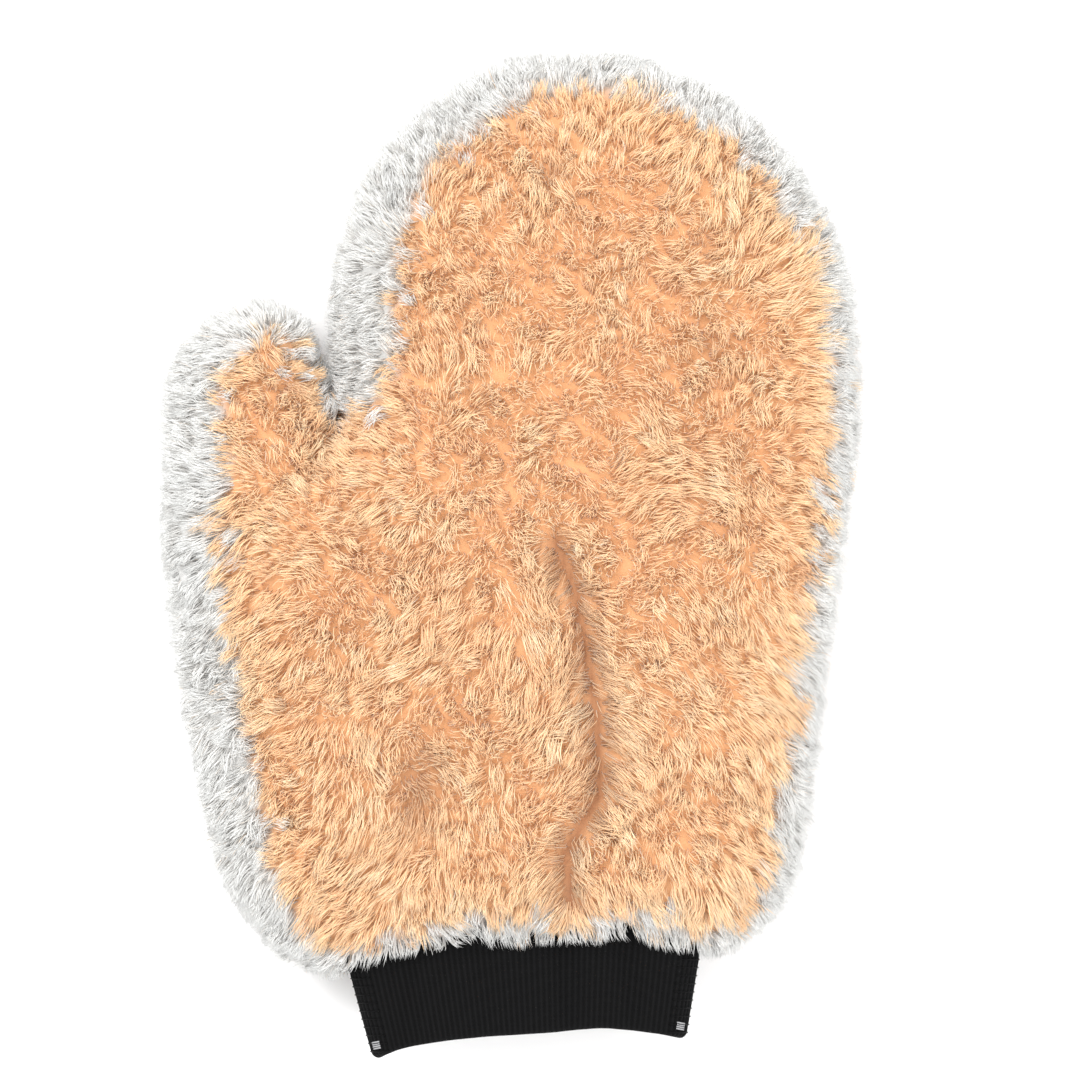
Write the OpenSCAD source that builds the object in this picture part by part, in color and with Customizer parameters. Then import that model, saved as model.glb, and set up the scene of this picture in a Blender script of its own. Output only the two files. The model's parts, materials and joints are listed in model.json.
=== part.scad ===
// Wash mitt with a thumb: long-pile plush panels on a knitted ground, a thin
// lining bag inside, and a folded rib-knit cuff with an elastic band.
// It lies flat, palm side up. +Y points to the fingertips, +X away from the
// thumb, +Z up through the thickness. The origin is the middle of the
// footprint, on the surface that the mitt lies on.

/* [Overall] */
// Length from the cuff's lowest corner to the fingertips
mitt_l = 275; // [268:1:282]
// Width across the thumb and the hand
mitt_w = 190.8; // [186:0.2:196]
// Thickness of the hand, pile included
mitt_t = 56; // [54:1:60]

/* [Pile and plies] */
// Height of the pile on the two faces
pile_face = 15; // [12:0.5:16]
// Depth of the pile round the edge
pile_edge = 9; // [8:0.5:10]
// Thickness of the knitted ground that holds the pile
ground_t = 1.1; // [0.8:0.1:1.6]
// Thickness of the lining
lining_t = 0.9; // [0.6:0.1:1.2]
// Air between two plies
ply_gap = 0.1; // [0.05:0.05:0.2]

/* [Hand and thumb] */
// How far the fingertips' highest point stands to the right of the middle
tip_x = 18; // [10:1:24]
// Width of the softly rounded rim of the hand
hand_rim = 35; // [30:1:40]
// Left edge of the hand beside the thumb
hand_left = -49.7; // [-50:0.1:-49]
// Height on Y of the thumb's tip
thumb_top = 69.5; // [64:0.5:74]
// Right edge of the thumb
thumb_right = -51; // [-52:0.1:-50.8]
// How much thinner the thumb is than the hand
thumb_thinner = 6; // [2:1:8]
// Width of the softly rounded rim of the thumb
thumb_rim = 22; // [20:1:22]
// Height on Y of the crotch between thumb and hand
crotch_y = 28; // [24:1:32]

/* [Folds] */
// Height on Y of the line where the fingers fold
finger_fold_y = 36; // [33:1:42]
// Height on Y where the thumb's fold line leaves the left edge
thumb_fold_left_y = -8; // [-14:1:0]
// Angle that each fold has room for
fold_room = 50; // [30:1:60]
// Slit between two bodies at a fold
fold_gap = 0.6; // [0.4:0.1:1]

/* [Cuff] */
// Width of the cuff inside the wrist seam
cuff_top_w = 105; // [100:1:107]
// Width of the cuff at its lower edge
cuff_low_w = 84; // [80:1:90]
// Thickness of the flattened cuff at the wrist seam
cuff_top_t = 17; // [15:1:18]
// Thickness of the flattened cuff at its lower edge
cuff_low_t = 15; // [13:1:16]
// Thickness of one ply of rib knit
rib_t = 1.3; // [1:0.1:1.6]
// Thickness of the elastic band
elastic_t = 0.6; // [0.4:0.1:0.8]
// Width of the elastic band
elastic_w = 9; // [6:1:10]
// How far the cuff's lower edge arches up between its corners
cuff_arch = 4; // [2:0.5:6]

/* [Stitches] */
// Radius of the sewing thread
thread_r = 0.4; // [0.3:0.05:0.45]
// Distance from one stitch to the next
stitch_pitch = 7; // [6:0.5:12]

/* [Hidden] */

pile_colour = [0.93, 0.70, 0.53];
ground_colour = [0.90, 0.88, 0.84];
lining_colour = [0.80, 0.80, 0.80];
thread_colour = [0.96, 0.95, 0.92];
cuff_colour = [0.09, 0.09, 0.10];
elastic_colour = [0.25, 0.25, 0.27];

mid_z = mitt_t / 2;
left_x = -mitt_w / 2;
right_x = mitt_w / 2;
top_y = mitt_l / 2;
slab = 0.02;                 // thickness of the slices that a pillow is stretched over
far = 400;
slit_x = (hand_left + thumb_right) / 2;
rim_angles = [0, 24, 47, 69, 90];
arc_steps = 7;

// Each surface is the outline moved in by its first value and the height cut by its second.
outer = [0, 0];
pile_in = [pile_edge, pile_face];
ground_out = pile_in + [ply_gap, ply_gap];
ground_in = ground_out + [ground_t, ground_t];
lining_out = ground_in + [ply_gap, ply_gap];
lining_in = lining_out + [lining_t, lining_t];

// A stretch of an ellipse about c, from angle a0 to a1
function arc(c, rx, ry, a0, a1) = [
    for (i = [0:arc_steps])
        let (a = a0 + (a1 - a0) * i / arc_steps)
        c + [rx * cos(a), ry * sin(a)]
];

// The three lobes, each a convex outline drawn counter-clockwise from above.
// The fingers' and the thumb's lower ends lie buried in the palm.
finger_right_y = 54;
finger_left_y = 70;
finger_outline = concat(
    [[60, -62], [82, -40], [right_x, finger_fold_y - 2]],
    arc([tip_x, finger_right_y], right_x - tip_x, top_y - finger_right_y, 0, 90),
    arc([tip_x, finger_left_y], tip_x - hand_left, top_y - finger_left_y, 90, 180),
    [[hand_left, crotch_y], [hand_left, -40], [-30, -62]]
);
thumb_left_y = 40;
thumb_mid_x = -67;
thumb_outline = concat(
    [[-90, -35], [-80, -45], [-60, -45], [thumb_right, -20]],
    arc([thumb_mid_x, 50], thumb_right - thumb_mid_x, thumb_top - 50, 0, 90),
    arc([thumb_mid_x, thumb_left_y], thumb_mid_x - left_x, thumb_top - thumb_left_y, 90, 180),
    [[left_x, 0]]
);
hem_left = [-44, -116];
hem_right = [50, -110.5];
palm_sides = concat(
    [[left_x, 0], [-91, -36]],
    arc([hem_left[0], -60], hem_left[0] + 85, hem_left[1] + 60, 165, 90),
    arc([hem_right[0], -72], 81 - hem_right[0], hem_right[1] + 72, 90, 9),
    [[94.2, crotch_y]]
);
palm_outline = concat([[left_x, crotch_y]], palm_sides);

// One half of a pillow: the outline swells from the seam plane to the flat face
module half_pillow(outline, half_t, rim, skin) {
    hull()
        for (a = rim_angles)
            translate([0, 0, (half_t - skin[1]) * sin(a) - (a > 0 ? slab : 0)])
                linear_extrude(slab)
                    offset(delta = -skin[0] - (rim - skin[0]) * (1 - cos(a)))
                        polygon(outline);
}

// The upper half of each body's lobes at one skin, seam plane at z = 0
module half_palm(skin) {
    half_pillow(palm_outline, mid_z, hand_rim, skin);
    half_pillow(finger_outline, mid_z, hand_rim, skin);
    half_pillow(thumb_outline, mid_z - thumb_thinner / 2, thumb_rim, skin);
}
module half_fingers(skin) { half_pillow(finger_outline, mid_z, hand_rim, skin); }
module half_thumb(skin) {
    half_pillow(palm_outline, mid_z, hand_rim, skin);
    half_pillow(thumb_outline, mid_z - thumb_thinner / 2, thumb_rim, skin);
}

// side 1 is the palm-up face, side -1 the face that lies on the table
module place(side) {
    translate([0, 0, mid_z])
        mirror([0, 0, side < 0 ? 1 : 0])
            children();
}

// The space past a fold line. With side = 1 it is what the folding body keeps,
// with side = -1 what its parent leaves out. Above the fold axis both open in a V,
// so the piles have room to close on each other.
fold_z = mitt_t - pile_face;
module past_fold(side) {
    half_gap = side * fold_gap / 2;
    top_z = mitt_t + 1;
    v = side * (top_z - fold_z) * tan(fold_room / 2);
    rotate([90, 0, 90])
        linear_extrude(2 * far, center = true)
            polygon([
                [half_gap, -1], [half_gap, fold_z],
                [half_gap + v, top_z], [far, top_z], [far, -1]
            ]);
}
module right_of_slit(side) {
    translate([slit_x + side * fold_gap / 2, -far, -1])
        cube([far, 2 * far, mitt_t + 2]);
}
module left_of_slit(side) {
    translate([slit_x - side * fold_gap / 2 - far, -far, -1])
        cube([far, 2 * far, mitt_t + 2]);
}
module finger_space(side) {
    intersection() {
        translate([0, finger_fold_y, 0])
            past_fold(side);
        right_of_slit(side);
    }
}
thumb_fold_a = [left_x, thumb_fold_left_y];
thumb_fold_b = [slit_x, crotch_y];
thumb_fold_turn = atan2(thumb_fold_b[1] - thumb_fold_a[1], thumb_fold_b[0] - thumb_fold_a[0]);
module thumb_space(side) {
    intersection() {
        translate([thumb_fold_b[0], thumb_fold_b[1], 0])
            rotate(thumb_fold_turn)
                past_fold(side);
        left_of_slit(side);
    }
}

// The cuff: a flattened tube that leaves the hem at the seam plane
cuff_top = [2, -89];
cuff_low = [4.6, -138];
cuff_wall = 2 * rib_t + elastic_t;
module cuff_end(at, w, t, inset) {
    r = t / 2 - inset;
    for (s = [-1, 1])
        translate([at[0] + s * (w - t) / 2, at[1], mid_z])
            rotate([90, 0, 0])
                cylinder(r = r, h = slab, $fn = 32);
}
// past lengthens the tube at both ends on the same taper, for cutting
module cuff_tube(inset, past) {
    grow = past / (cuff_top[1] - cuff_low[1]);
    reach = grow * (cuff_top - cuff_low);
    widen = grow * (cuff_top_w - cuff_low_w);
    thicken = grow * (cuff_top_t - cuff_low_t);
    hull() {
        cuff_end(cuff_top + reach, cuff_top_w + widen, cuff_top_t + thicken, inset);
        cuff_end(cuff_low - reach, cuff_low_w - widen, cuff_low_t - thicken, inset);
    }
}
// Everything below the cuff's arched lower edge
cuff_corner_l = [-38, -top_y];
cuff_corner_r = [47, -132];
module below_cuff() {
    chord = norm(cuff_corner_r - cuff_corner_l);
    r = chord * chord / (8 * cuff_arch) + cuff_arch / 2;
    lean = atan2(cuff_corner_r[1] - cuff_corner_l[1], cuff_corner_r[0] - cuff_corner_l[0]);
    mid = (cuff_corner_l + cuff_corner_r) / 2;
    translate([mid[0], mid[1], -1])
        rotate(lean)
            translate([0, cuff_arch - r, 0])
                cylinder(r = r, h = mitt_t + 2, $fn = 240);
}
elastic_y = -128;
module elastic_zone(room) {
    translate([-far, elastic_y - room, 0])
        cube([2 * far, elastic_w + 2 * room, mitt_t]);
}
module cuff_half(side) {
    intersection() {
        difference() {
            cuff_tube(0, 0);
            cuff_tube(cuff_wall, 2);
            difference() {
                intersection() {
                    cuff_tube(rib_t, 0);
                    elastic_zone(0.3);
                }
                cuff_tube(rib_t + elastic_t, 2);
            }
            below_cuff();
        }
        place(side)
            translate([-far, -far, 0])
                cube([2 * far, 2 * far, mitt_t]);
    }
}

// The hem lifts a little over the middle of the cuff
hem_arch = 5.5;
module hem_lift() {
    chord = norm(hem_right - hem_left);
    r = chord * chord / (8 * hem_arch) + hem_arch / 2;
    mid = (hem_left + hem_right) / 2;
    translate([mid[0], mid[1] + hem_arch - r, -1])
        cylinder(r = r, h = mitt_t + 2, $fn = 240);
}

// A ply of one body and side: the space between two skins. room is the slit round the cuff.
cuff_room = 0.3;
module palm_ply(side, out, in, room) {
    difference() {
        place(side)
            difference() {
                half_palm(out);
                translate([0, 0, -slab])
                    half_palm(in);
            }
        finger_space(-1);
        thumb_space(-1);
        cuff_tube(-room, 30);
    }
}
module finger_ply(side, out, in) {
    intersection() {
        place(side)
            difference() {
                half_fingers(out);
                translate([0, 0, -slab])
                    half_fingers(in);
            }
        finger_space(1);
    }
}
module thumb_ply(side, out, in) {
    intersection() {
        place(side)
            difference() {
                half_thumb(out);
                translate([0, 0, -slab])
                    half_thumb(in);
            }
        thumb_space(1);
    }
}

// One ply of a palm panel's plush, with the lifted hem
module palm_pile(side) {
    difference() {
        palm_ply(side, outer, pile_in, cuff_room);
        hem_lift();
    }
}

module palm_front_pile() { color(pile_colour) palm_pile(1); }
module palm_back_pile() { color(pile_colour) palm_pile(-1); }
module palm_front_ground() { color(ground_colour) palm_ply(1, ground_out, ground_in, ply_gap); }
module palm_back_ground() { color(ground_colour) palm_ply(-1, ground_out, ground_in, ply_gap); }
module palm_front_lining() { color(lining_colour) palm_ply(1, lining_out, lining_in, ply_gap); }
module palm_back_lining() { color(lining_colour) palm_ply(-1, lining_out, lining_in, ply_gap); }

module finger_front_pile() { color(pile_colour) finger_ply(1, outer, pile_in); }
module finger_back_pile() { color(pile_colour) finger_ply(-1, outer, pile_in); }
module finger_front_ground() { color(ground_colour) finger_ply(1, ground_out, ground_in); }
module finger_back_ground() { color(ground_colour) finger_ply(-1, ground_out, ground_in); }
module finger_front_lining() { color(lining_colour) finger_ply(1, lining_out, lining_in); }
module finger_back_lining() { color(lining_colour) finger_ply(-1, lining_out, lining_in); }

module thumb_front_pile() { color(pile_colour) thumb_ply(1, outer, pile_in); }
module thumb_back_pile() { color(pile_colour) thumb_ply(-1, outer, pile_in); }
module thumb_front_ground() { color(ground_colour) thumb_ply(1, ground_out, ground_in); }
module thumb_back_ground() { color(ground_colour) thumb_ply(-1, ground_out, ground_in); }
module thumb_front_lining() { color(lining_colour) thumb_ply(1, lining_out, lining_in); }
module thumb_back_lining() { color(lining_colour) thumb_ply(-1, lining_out, lining_in); }

// Stitches: points at an even pitch along a path that is moved in from the outline
function moved_in(p, d) = [
    for (i = [0:len(p) - 1])
        let (t = p[min(i + 1, len(p) - 1)] - p[max(i - 1, 0)])
        p[i] + d * [-t[1], t[0]] / norm(t)
];
function lengths(p) = [
    for (i = 0, s = 0; i < len(p); i = i + 1, s = s + (i < len(p) ? norm(p[i] - p[i - 1]) : 0)) s
];
function point_at(p, s_at, s) =
    let (i = max([for (k = [0:len(p) - 2]) if (s_at[k] <= s) k]))
    p[i] + (p[i + 1] - p[i]) * (s - s_at[i]) / (s_at[i + 1] - s_at[i]);
function spaced(p, pitch) =
    let (s_at = lengths(p), n = floor(s_at[len(p) - 1] / pitch))
    [for (k = [0:n - 1]) point_at(p, s_at, (k + 0.5) * pitch)];

// How far a point lies past the thumb's fold line
function past_thumb_fold(q) =
    let (along = [cos(thumb_fold_turn), sin(thumb_fold_turn)], d = q - thumb_fold_b)
    along[0] * d[1] - along[1] * d[0];
function on_fingers(q) = q[1] > finger_fold_y + 2;
function on_thumb(q) = past_thumb_fold(q) > 2;
function beside_cuff(q) = abs(q[0] - cuff_top[0]) > cuff_top_w / 2 + 3 || q[1] > -90;
function on_palm(q) = q[1] < finger_fold_y - 2 && past_thumb_fold(q) < -2 && beside_cuff(q);

module stitch_row(points) {
    color(thread_colour)
        for (q = points)
            translate([q[0], q[1], mid_z - seam_stitch_l / 2])
                cylinder(r = thread_r, h = seam_stitch_l, $fn = 16);
}
function seam_depth(skin, t) = skin[0] + t / 2;
ground_depth = seam_depth(ground_out, ground_t);
lining_depth = seam_depth(lining_out, lining_t);
seam_stitch_l = 3;

finger_rim_path = [for (q = finger_outline) if (q[1] > crotch_y - 1) q];
thumb_rim_path = [for (q = thumb_outline) if (q[1] > -30 && q[1] < 80) q];
function finger_points(d) = [
    for (q = spaced(moved_in(finger_rim_path, d), stitch_pitch)) if (on_fingers(q)) q
];
function thumb_points(d) = [
    for (q = spaced(moved_in(thumb_rim_path, d), stitch_pitch)) if (on_thumb(q)) q
];
function web_points(d) = [
    for (x = [thumb_right - d + 3:stitch_pitch / 2:hand_left + d - 2])
        [x, crotch_y - d]
];
function palm_points(d) = concat(
    [for (q = spaced(moved_in(palm_sides, d), stitch_pitch)) if (on_palm(q)) q],
    web_points(d)
);
module palm_seam_thread() { stitch_row(palm_points(ground_depth)); }
module palm_lining_thread() { stitch_row(palm_points(lining_depth)); }
module finger_seam_thread() { stitch_row(finger_points(ground_depth)); }
module finger_lining_thread() { stitch_row(finger_points(lining_depth)); }
module thumb_seam_thread() { stitch_row(thumb_points(ground_depth)); }
module thumb_lining_thread() { stitch_row(thumb_points(lining_depth)); }

module cuff_front() { color(cuff_colour) cuff_half(1); }
module cuff_back() { color(cuff_colour) cuff_half(-1); }
module cuff_elastic() {
    color(elastic_colour)
        intersection() {
            difference() {
                cuff_tube(rib_t + 0.05, 0);
                cuff_tube(rib_t + elastic_t - 0.05, 2);
            }
            elastic_zone(0);
        }
}

// The two side seams of the cuff, where its front and back plies meet
side_stitch_ys = [-126:4:-101];
side_stitch_l = 5;
module cuff_side_thread(s) {
    for (y = side_stitch_ys)
        let (k = (y - cuff_low[1]) / (cuff_top[1] - cuff_low[1]))
        translate([
            cuff_low[0] + k * (cuff_top[0] - cuff_low[0])
                + s * (cuff_low_w / 2 + k * (cuff_top_w - cuff_low_w) / 2 - cuff_wall / 2),
            y, mid_z - side_stitch_l / 2
        ])
            cylinder(r = thread_r, h = side_stitch_l, $fn = 16);
}
module cuff_left_thread() { color(thread_colour) cuff_side_thread(-1); }
module cuff_right_thread() { color(thread_colour) cuff_side_thread(1); }

// The wrist seam goes through the ground, the lining and the cuff where they meet
function hem_y(x) =
    hem_left[1] + (hem_right[1] - hem_left[1]) * (x - hem_left[0]) / (hem_right[0] - hem_left[0]);
function skin_depth(skin, z) =
    let (half_t = mid_z - skin[1], rim = hand_rim - skin[0])
    skin[0] + rim * (1 - sqrt(1 - pow(z / half_t, 2)));
wrist_stitch_l = 4.4;
wrist_stitch_xs = [-38:stitch_pitch:42];
module wrist_thread() {
    z = cuff_top_t / 2;
    color(thread_colour)
        for (x = wrist_stitch_xs)
            for (side = [-1, 1])
                translate([x, hem_y(x) + skin_depth(ground_out, z + ground_t / 2), mid_z + side * z])
                    mirror([0, 0, side < 0 ? 1 : 0])
                        translate([0, 0, ground_t - wrist_stitch_l])
                            cylinder(r = thread_r, h = wrist_stitch_l, $fn = 16);
}

palm_front_pile();
palm_back_pile();
palm_front_ground();
palm_back_ground();
palm_front_lining();
palm_back_lining();
palm_seam_thread();
palm_lining_thread();
finger_front_pile();
finger_back_pile();
finger_front_ground();
finger_back_ground();
finger_front_lining();
finger_back_lining();
finger_seam_thread();
finger_lining_thread();
thumb_front_pile();
thumb_back_pile();
thumb_front_ground();
thumb_back_ground();
thumb_front_lining();
thumb_back_lining();
thumb_seam_thread();
thumb_lining_thread();
cuff_front();
cuff_back();
cuff_elastic();
cuff_left_thread();
cuff_right_thread();
wrist_thread();
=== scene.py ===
import json
import math

import bmesh
import bpy
import numpy as np
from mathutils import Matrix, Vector, kdtree, noise


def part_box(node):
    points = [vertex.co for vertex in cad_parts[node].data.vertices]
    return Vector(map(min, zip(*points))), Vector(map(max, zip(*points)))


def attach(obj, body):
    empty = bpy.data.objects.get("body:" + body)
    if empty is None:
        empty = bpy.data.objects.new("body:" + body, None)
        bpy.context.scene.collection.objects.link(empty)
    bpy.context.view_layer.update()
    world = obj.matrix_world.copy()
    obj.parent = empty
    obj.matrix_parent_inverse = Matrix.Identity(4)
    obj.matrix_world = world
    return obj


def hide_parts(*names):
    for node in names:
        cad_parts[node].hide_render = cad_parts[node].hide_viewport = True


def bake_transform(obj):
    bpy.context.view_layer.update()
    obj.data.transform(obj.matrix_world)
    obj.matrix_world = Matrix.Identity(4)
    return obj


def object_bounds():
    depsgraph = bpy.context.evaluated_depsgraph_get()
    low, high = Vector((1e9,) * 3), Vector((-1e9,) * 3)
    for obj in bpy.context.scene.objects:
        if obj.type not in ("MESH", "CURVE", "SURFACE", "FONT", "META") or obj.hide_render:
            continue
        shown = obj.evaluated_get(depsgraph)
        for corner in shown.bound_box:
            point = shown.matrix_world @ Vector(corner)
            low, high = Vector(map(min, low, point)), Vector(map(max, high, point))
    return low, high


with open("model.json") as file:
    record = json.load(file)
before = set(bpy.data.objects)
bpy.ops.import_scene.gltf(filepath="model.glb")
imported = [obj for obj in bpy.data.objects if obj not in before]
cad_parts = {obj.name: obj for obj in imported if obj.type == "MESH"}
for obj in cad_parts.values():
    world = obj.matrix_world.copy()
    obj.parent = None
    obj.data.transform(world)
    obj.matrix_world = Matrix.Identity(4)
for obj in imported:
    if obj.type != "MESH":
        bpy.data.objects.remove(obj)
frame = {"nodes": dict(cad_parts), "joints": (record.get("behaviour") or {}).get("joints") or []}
cad_low, cad_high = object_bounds()

MM = 0.001
SEED = 20
rng = np.random.default_rng(SEED)

# ---------------------------------------------------------------- the frame
MID_Z = (cad_low.z + cad_high.z) / 2
PILE_EDGE = 9.0 * MM            # depth of the pile round the rim
PILE_FACE = 15.0 * MM           # height of the pile on the faces
PLY_GAP = 0.1 * MM
GROUND_T = 1.1 * MM
LINING_T = 0.9 * MM
GROUND_OUT = (PILE_EDGE + PLY_GAP, PILE_FACE + PLY_GAP)
LINING_OUT = tuple(depth + GROUND_T + PLY_GAP for depth in GROUND_OUT)
BED = (3.6 * MM, 5.2 * MM)      # how deep the matted under-pile lies in the pile
BED_T = 5.0 * MM

JOINTS = {j["name"]: j for j in frame["joints"]}
FINGER_FOLD = np.array(JOINTS["finger_fold"]["pos_m"])
THUMB_FOLD = np.array(JOINTS["thumb_fold"]["pos_m"])
THUMB_ALONG = np.array(JOINTS["thumb_fold"]["axis"])
THUMB_PAST = np.array([-THUMB_ALONG[1], THUMB_ALONG[0], 0.0])
SLIT_X = THUMB_FOLD[0]

PALM_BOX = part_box("palm_back_pile")
CUFF_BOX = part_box("cuff_back")


def node_points(name):
    """The vertices of a CAD node at rest."""
    return mesh_points(frame["nodes"][name].data)


def smoothstep(t):
    t = np.clip(t, 0.0, 1.0)
    return t * t * (3 - 2 * t)


# ------------------------------------------------------------- mesh helpers
def new_object(name, mesh):
    obj = bpy.data.objects.new(name, mesh)
    bpy.context.scene.collection.objects.link(obj)
    return obj


def mesh_points(mesh):
    co = np.empty(len(mesh.vertices) * 3)
    mesh.vertices.foreach_get("co", co)
    return co.reshape(-1, 3)


def mesh_normals(mesh):
    no = np.empty(len(mesh.vertices) * 3)
    mesh.vertices.foreach_get("normal", no)
    return no.reshape(-1, 3)


def set_points(mesh, points):
    mesh.vertices.foreach_set("co", points.ravel())
    mesh.update()


def settle(obj):
    """Applies the modifiers of obj."""
    depsgraph = bpy.context.evaluated_depsgraph_get()
    mesh = bpy.data.meshes.new_from_object(obj.evaluated_get(depsgraph))
    obj.modifiers.clear()
    old = obj.data
    obj.data = mesh
    bpy.data.meshes.remove(old)
    return obj


def discard(*objs):
    for obj in objs:
        mesh = obj.data
        bpy.data.objects.remove(obj)
        bpy.data.meshes.remove(mesh)


def hull(name, points):
    bm = bmesh.new()
    verts = [bm.verts.new(p) for p in points]
    result = bmesh.ops.convex_hull(bm, input=verts)
    inside = {g for g in result["geom_interior"] if isinstance(g, bmesh.types.BMVert)}
    inside |= {g for g in result["geom_unused"] if isinstance(g, bmesh.types.BMVert)}
    bmesh.ops.delete(bm, geom=list(inside), context="VERTS")
    bmesh.ops.recalc_face_normals(bm, faces=bm.faces)
    mesh = bpy.data.meshes.new(name)
    bm.to_mesh(mesh)
    bm.free()
    return new_object(name, mesh)


def join_meshes(name, objs):
    bm = bmesh.new()
    for obj in objs:
        bm.from_mesh(obj.data)
    mesh = bpy.data.meshes.new(name)
    bm.to_mesh(mesh)
    bm.free()
    return new_object(name, mesh)


def unite(obj, other):
    """Adds a closed mesh to obj by a boolean."""
    mod = obj.modifiers.new("unite", "BOOLEAN")
    mod.operation = "UNION"
    mod.object = other
    mod.solver = "MANIFOLD"
    return settle(obj)


def copy_of(obj, name):
    return new_object(name, obj.data.copy())


def remeshed(obj, voxel, smooth_steps):
    mod = obj.modifiers.new("remesh", "REMESH")
    mod.mode = "VOXEL"
    mod.voxel_size = voxel
    smooth = obj.modifiers.new("smooth", "SMOOTH")
    smooth.factor = 0.5
    smooth.iterations = smooth_steps
    return settle(obj)


def smooth_shade(obj):
    obj.data.polygons.foreach_set("use_smooth", [True] * len(obj.data.polygons))
    return obj


# ------------------------------------------------------- the shape of the hand
VOXEL = 1.9 * MM
SMOOTHING = 9
OVERLAP = 4.0 * MM
THUMB_ROOT = 34.0 * MM          # how far the thumb's root reaches into the hand
ROOT_THINNER = 0.97


def both_faces(points):
    """Adds the mirror image in the seam plane, as the lower face has no fold slots."""
    other = points.copy()
    other[:, 2] = 2 * MID_Z - other[:, 2]
    return np.vstack([points, other])


def hand_shape():
    palm = both_faces(node_points("palm_back_pile"))
    fingers = both_faces(node_points("finger_back_pile"))
    low = fingers[fingers[:, 1] < FINGER_FOLD[1] + OVERLAP / 2] - [0, OVERLAP, 0]
    palm_hull = hull("palm_hull", palm)
    finger_hull = hull("finger_hull", np.vstack([fingers, low]))
    shape = join_meshes("hand_shape", [palm_hull, finger_hull])
    discard(palm_hull, finger_hull)
    return lifted_hem(remeshed(shape, VOXEL, SMOOTHING))


def thumb_shape():
    thumb = both_faces(node_points("thumb_back_pile"))
    past = (thumb - THUMB_FOLD) @ THUMB_PAST
    root = thumb[past < OVERLAP / 2] - THUMB_PAST * THUMB_ROOT
    root[:, 2] = MID_Z + (root[:, 2] - MID_Z) * ROOT_THINNER
    shape = hull("thumb_shape", np.vstack([thumb, root]))
    return remeshed(shape, VOXEL, SMOOTHING)


# The hem lifts over the cuff, with two notches where the pile parts
HEM_MID_X = 2.3 * MM
HEM_HALF_W = 48.5 * MM
HEM_ARCH = 5.2 * MM
HEM_NOTCHES = (
    # x, height, half width
    (-9.5 * MM, 2.8 * MM, 4.0 * MM), (30.5 * MM, 2.4 * MM, 4.5 * MM),
)
HEM_REACH = 34.0 * MM


def hem_lift(x):
    u = (x - HEM_MID_X) / HEM_HALF_W
    lift = HEM_ARCH * np.clip(1 - np.abs(u) ** 2.4, 0, 1)
    for at, height, spread in HEM_NOTCHES:
        lift = lift + height * np.exp(-((x - at) / spread) ** 2)
    return lift


def lifted_hem(obj):
    points = mesh_points(obj.data)
    near = smoothstep((PALM_BOX[0].y + HEM_REACH - points[:, 1]) / HEM_REACH)
    points[:, 1] += hem_lift(points[:, 0]) * near
    set_points(obj.data, points)
    return obj


def skin(obj, name, depth):
    """obj moved in by depth[0] sideways and depth[1] up and down."""
    copied = copy_of(obj, name)
    normals = mesh_normals(copied.data)
    points = mesh_points(copied.data)
    points -= normals * [depth[0], depth[0], depth[1]]
    set_points(copied.data, points)
    return copied


# ---------------------------------------------------------- the cuff's outline
CUFF_TOP_Y = CUFF_BOX[1].y
CUFF_LOW_Y = CUFF_BOX[0].y
CUFF_WALL = 3.2 * MM


def cuff_section(y):
    """Centre, width and thickness of the flattened cuff tube at y."""
    k = (y - CUFF_LOW_Y) / (CUFF_TOP_Y - CUFF_LOW_Y)
    mid = CUFF_LOW_MID + k * (CUFF_TOP_MID - CUFF_LOW_MID)
    width = CUFF_LOW_W + k * (CUFF_TOP_W - CUFF_LOW_W)
    thick = CUFF_LOW_T + k * (CUFF_TOP_T - CUFF_LOW_T)
    return mid, width, thick


def end_section(y, reach):
    """Centre, width and thickness of the CAD cuff near y."""
    points = node_points("cuff_back")
    near = points[np.abs(points[:, 1] - y) < reach]
    low, high = near.min(0), near.max(0)
    return (low[0] + high[0]) / 2, high[0] - low[0], 2 * (MID_Z - low[2])


CUFF_TOP_MID, CUFF_TOP_W, CUFF_TOP_T = end_section(CUFF_TOP_Y, 1 * MM)
CUFF_LOW_MID, CUFF_LOW_W, CUFF_LOW_T = 4.6 * MM, 84 * MM, 15 * MM


def stadium(width, thick, s):
    """Points and normals (x, z) over the upper half of a flattened round, s from 0 at the left to 1."""
    r = thick / 2
    flat = width - thick
    arc = math.pi * r / 2
    at = s * (2 * arc + flat)
    ends = [at < arc, at > arc + flat]
    a_left = at / r
    a_right = (at - arc - flat) / r
    x = np.select(ends, [-flat / 2 - r * np.cos(a_left), flat / 2 + r * np.sin(a_right)],
                  at - arc - flat / 2)
    z = np.select(ends, [r * np.sin(a_left), r * np.cos(a_right)], r)
    nx = np.select(ends, [-np.cos(a_left), np.sin(a_right)], 0.0)
    nz = np.select(ends, [np.sin(a_left), np.cos(a_right)], 1.0)
    return x, z, nx, nz


# ----------------------------------------------------------- shells and panels
hand = hand_shape()
thumb = thumb_shape()
CUFF_ROOM = 0.6 * MM


def in_thumb_zone(points):
    """Whether points lie past the thumb's fold line, on the thumb's side of the slit."""
    return ((points - THUMB_FOLD) @ THUMB_PAST > 0) & (points[:, 0] < SLIT_X)


def in_cuff(points, room):
    """Whether points lie in the cuff's tube, with some room round it."""
    mid, width, thick = cuff_section(points[:, 1])
    return ((np.abs(points[:, 0] - mid) < width / 2 + room)
            & (np.abs(points[:, 2] - MID_Z) < thick / 2 + room) & (points[:, 1] < CUFF_TOP_Y))


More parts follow.
